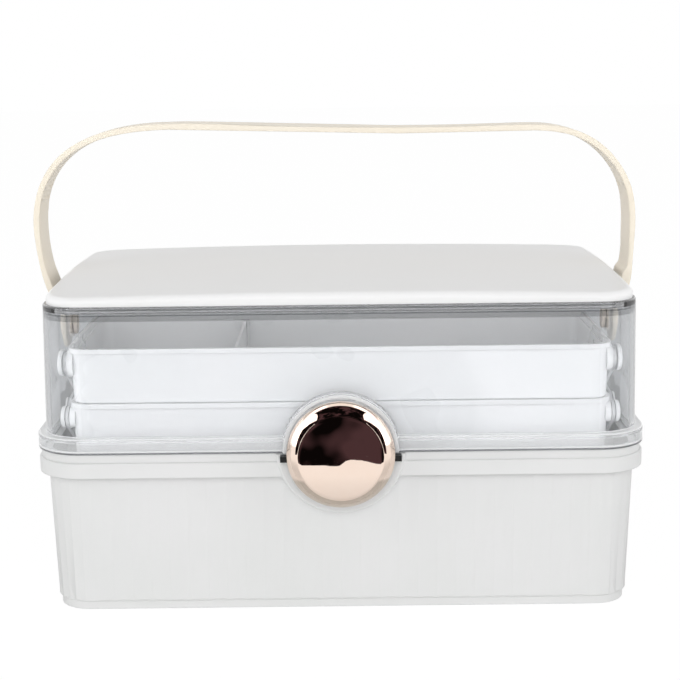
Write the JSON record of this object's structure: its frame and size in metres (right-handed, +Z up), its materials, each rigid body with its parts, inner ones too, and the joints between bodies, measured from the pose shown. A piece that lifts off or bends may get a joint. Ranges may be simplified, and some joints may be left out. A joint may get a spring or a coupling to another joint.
{
  "type": "makeup storage case with handle",
  "caption": "Boxy cosmetics case with a white bin, a clear lift-up cover with a white domed cap, cantilever trays that swing back with it, a round push latch and a soft carrying strap.",
  "frame": {"origin": "centre of the underside of the bin, on the surface the case stands on", "axes": "+X to the right along the long side, +Y to the back where the hinge is, +Z up; the latch faces -Y"},
  "size_m": [0.3157, 0.2133, 0.2356],
  "materials": {
    "white_plastic": "satin white moulding",
    "satin_white": "fine satin moulding",
    "tray_plastic": "satin, slightly cool white",
    "clear_plastic": "polished clear",
    "frosted_plastic": "frosted translucent",
    "cream_strap": "soft satin",
    "rivet_plastic": "satin",
    "rose_gold": "mirror plated",
    "black_plastic": "satin black",
    "steel": "drawn"
  },
  "bodies": {
    "bin": {"base_bin": "white_plastic", "hinge_pins": "steel", "base_pivot_pins": "white_plastic", "latch_bracket": "black_plastic", "latch_axle": "steel", "latch_spring": "steel"},
    "lid": {"clear_cover": "clear_plastic", "lid_cap": "satin_white", "lid_link_pins": "white_plastic", "handle_studs": "rivet_plastic", "handle_spacers": "rivet_plastic", "handle_nuts": "rivet_plastic"},
    "handle": {"handle_strap": "cream_strap"},
    "front_lower_arms": {"left_front_lower_arm": "frosted_plastic", "right_front_lower_arm": "frosted_plastic"},
    "rear_lower_arms": {"left_rear_lower_arm": "frosted_plastic", "right_rear_lower_arm": "frosted_plastic"},
    "lower_tray_set": {"lower_tray": "tray_plastic", "lower_tray_front_caps": "tray_plastic", "upper_arm_foot_pins": "tray_plastic", "link_pins": "tray_plastic"},
    "front_upper_arms": {"left_front_upper_arm": "frosted_plastic", "right_front_upper_arm": "frosted_plastic"},
    "rear_upper_arms": {"left_rear_upper_arm": "frosted_plastic", "right_rear_upper_arm": "frosted_plastic"},
    "upper_tray_set": {"upper_tray": "tray_plastic", "tray_divider": "tray_plastic", "upper_tray_front_caps": "tray_plastic", "upper_tray_rear_pins": "tray_plastic"},
    "lid_links": {"left_lid_link": "frosted_plastic", "right_lid_link": "frosted_plastic"},
    "latch": {"latch_rocker": "black_plastic", "latch_button": "rose_gold", "button_screws": "steel"}
  },
  "joints": [
    {"name": "lid_hinge", "type": "hinge", "parent": "bin", "child": "lid", "pos_m": [0, 0.099, 0.0812], "axis": [-1, 0, 0], "range_deg": [0, 95]},
    {"name": "front_lower_arms_swing", "type": "hinge", "parent": "bin", "child": "front_lower_arms", "pos_m": [0, -0.03405, 0.069], "axis": [-1, 0, 0], "range_deg": [0, 95]},
    {"name": "rear_lower_arms_swing", "type": "hinge", "parent": "bin", "child": "rear_lower_arms", "pos_m": [0, -0.01205, 0.069], "axis": [-1, 0, 0], "range_deg": [0, 95]},
    {"name": "lower_tray_level", "type": "hinge", "parent": "front_lower_arms", "child": "lower_tray_set", "pos_m": [0, -0.076, 0.0962], "axis": [1, 0, 0], "range_deg": [0, 95]},
    {"name": "front_upper_arms_swing", "type": "hinge", "parent": "lower_tray_set", "child": "front_upper_arms", "pos_m": [0, -0.034, 0.0962], "axis": [-1, 0, 0], "range_deg": [0, 95]},
    {"name": "rear_upper_arms_swing", "type": "hinge", "parent": "lower_tray_set", "child": "rear_upper_arms", "pos_m": [0, -0.002, 0.0962], "axis": [-1, 0, 0], "range_deg": [0, 95]},
    {"name": "upper_tray_level", "type": "hinge", "parent": "front_upper_arms", "child": "upper_tray_set", "pos_m": [0, -0.07595, 0.1234], "axis": [1, 0, 0], "range_deg": [0, 95]},
    {"name": "lid_links_swing", "type": "hinge", "parent": "lid", "child": "lid_links", "pos_m": [0, 0.05705, 0.1084], "axis": [1, 0, 0], "range_deg": [0, 95]},
    {"name": "handle_swing", "type": "hinge", "parent": "lid", "child": "handle", "pos_m": [0, 0, 0.129], "axis": [1, 0, 0], "range_deg": [-90, 90]},
    {"name": "latch_press", "type": "hinge", "parent": "bin", "child": "latch", "pos_m": [0, -0.0995, 0.0798], "axis": [1, 0, 0], "range_deg": [0, 6], "stiffness_Nm_per_rad": 0.5, "springref_deg": -5.73}
  ],
  "couplings": [
    {"joint": "front_lower_arms_swing", "follows": "lid_hinge", "ratio": 1},
    {"joint": "rear_lower_arms_swing", "follows": "lid_hinge", "ratio": 1},
    {"joint": "lower_tray_level", "follows": "lid_hinge", "ratio": 1},
    {"joint": "front_upper_arms_swing", "follows": "lid_hinge", "ratio": 1},
    {"joint": "rear_upper_arms_swing", "follows": "lid_hinge", "ratio": 1},
    {"joint": "upper_tray_level", "follows": "lid_hinge", "ratio": 1},
    {"joint": "lid_links_swing", "follows": "lid_hinge", "ratio": 1}
  ]
}
